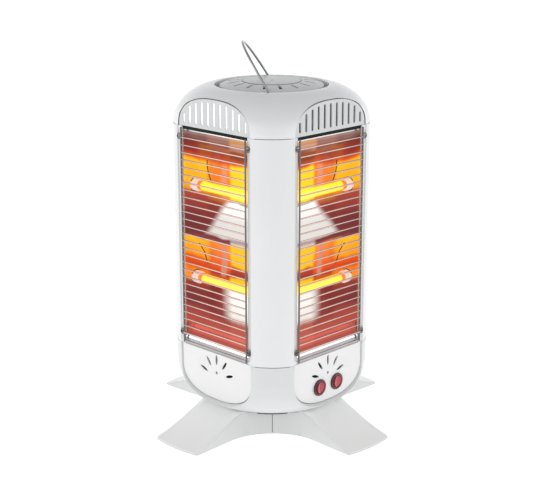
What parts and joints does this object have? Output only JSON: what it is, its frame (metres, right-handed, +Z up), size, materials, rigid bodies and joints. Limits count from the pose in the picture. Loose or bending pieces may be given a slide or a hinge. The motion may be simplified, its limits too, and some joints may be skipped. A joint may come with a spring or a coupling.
{
  "type": "halogen heater",
  "caption": "Free-standing halogen tube heater: rounded-square white tower on a splayed foot, with wire guards over polished reflectors, rocker switches and a swinging wire bail.",
  "frame": {"origin": "on the floor under the centre of the tower", "axes": "+Z up; the control panel with its rocker switches faces -Y; +X is to the right as seen from the front"},
  "size_m": [0.363, 0.363, 0.5109],
  "materials": {
    "white_plastic": "glossy moulded white",
    "panel_plastic": "satin white with a fine grain",
    "vent_plastic": "satin pale grey",
    "foot_plastic": "satin grey-white",
    "pad_rubber": "matt",
    "deck_steel": "plain galvanised sheet",
    "bright_sill": "bright rolled strip",
    "chrome_wire": "bright plated wire",
    "polished_reflector": "mirror-polished sheet",
    "lamp_glow": "lit quartz tube with white ceramic ends",
    "black_plastic": "gloss black",
    "red_plastic": "translucent gloss red"
  },
  "bodies": {
    "heater_body": {"foot_half_left": "foot_plastic", "foot_half_right": "foot_plastic", "foot_pad_right": "pad_rubber", "foot_pad_back": "pad_rubber", "foot_pad_left": "pad_rubber", "foot_pad_front": "pad_rubber", "lower_moulding": "white_plastic", "top_cap": "white_plastic", "deck_lower": "deck_steel", "deck_upper": "deck_steel", "top_vent_disc": "vent_plastic", "corner_post_back_right": "white_plastic", "corner_post_back_left": "white_plastic", "corner_post_front_left": "white_plastic", "corner_post_front_right": "white_plastic", "arch_vent_front": "vent_plastic", "control_panel_front": "panel_plastic", "sill_front": "bright_sill", "wire_guard_front": "chrome_wire", "reflector_front": "polished_reflector", "lamp_lower_front": "lamp_glow", "lamp_upper_front": "lamp_glow", "end_plate_front_a": "polished_reflector", "end_plate_front_b": "polished_reflector", "arch_vent_left": "vent_plastic", "lower_panel_left": "panel_plastic", "sill_left": "bright_sill", "wire_guard_left": "chrome_wire", "reflector_left": "polished_reflector", "lamp_lower_left": "lamp_glow", "lamp_upper_left": "lamp_glow", "end_plate_left_a": "polished_reflector", "end_plate_left_b": "polished_reflector", "arch_vent_back": "vent_plastic", "lower_panel_back": "panel_plastic", "sill_back": "bright_sill", "wire_guard_back": "chrome_wire", "reflector_back": "polished_reflector", "lamp_lower_back": "lamp_glow", "lamp_upper_back": "lamp_glow", "end_plate_back_a": "polished_reflector", "end_plate_back_b": "polished_reflector", "arch_vent_right": "vent_plastic", "lower_panel_right": "panel_plastic", "sill_right": "bright_sill", "wire_guard_right": "chrome_wire", "reflector_right": "polished_reflector", "lamp_lower_right": "lamp_glow", "lamp_upper_right": "lamp_glow", "end_plate_right_a": "polished_reflector", "end_plate_right_b": "polished_reflector", "switch_body_left": "black_plastic", "switch_body_right": "black_plastic", "cord_bush": "black_plastic"},
    "bail": {"carry_bail": "chrome_wire"},
    "rocker_left": {"switch_rocker_left": "red_plastic"},
    "rocker_right": {"switch_rocker_right": "red_plastic"}
  },
  "joints": [
    {"name": "bail_hinge", "type": "hinge", "parent": "heater_body", "child": "bail", "pos_m": [0, 0, 0.4493], "axis": [0.7071, 0.7071, 0], "range_deg": [-58, 122]},
    {"name": "rocker_left_hinge", "type": "hinge", "parent": "heater_body", "child": "rocker_left", "pos_m": [-0.0165, -0.1046, 0.0675], "axis": [0, 0, 1], "range_deg": [-20, 0]},
    {"name": "rocker_right_hinge", "type": "hinge", "parent": "heater_body", "child": "rocker_right", "pos_m": [0.0165, -0.1046, 0.0675], "axis": [0, 0, 1], "range_deg": [-20, 0]}
  ]
}
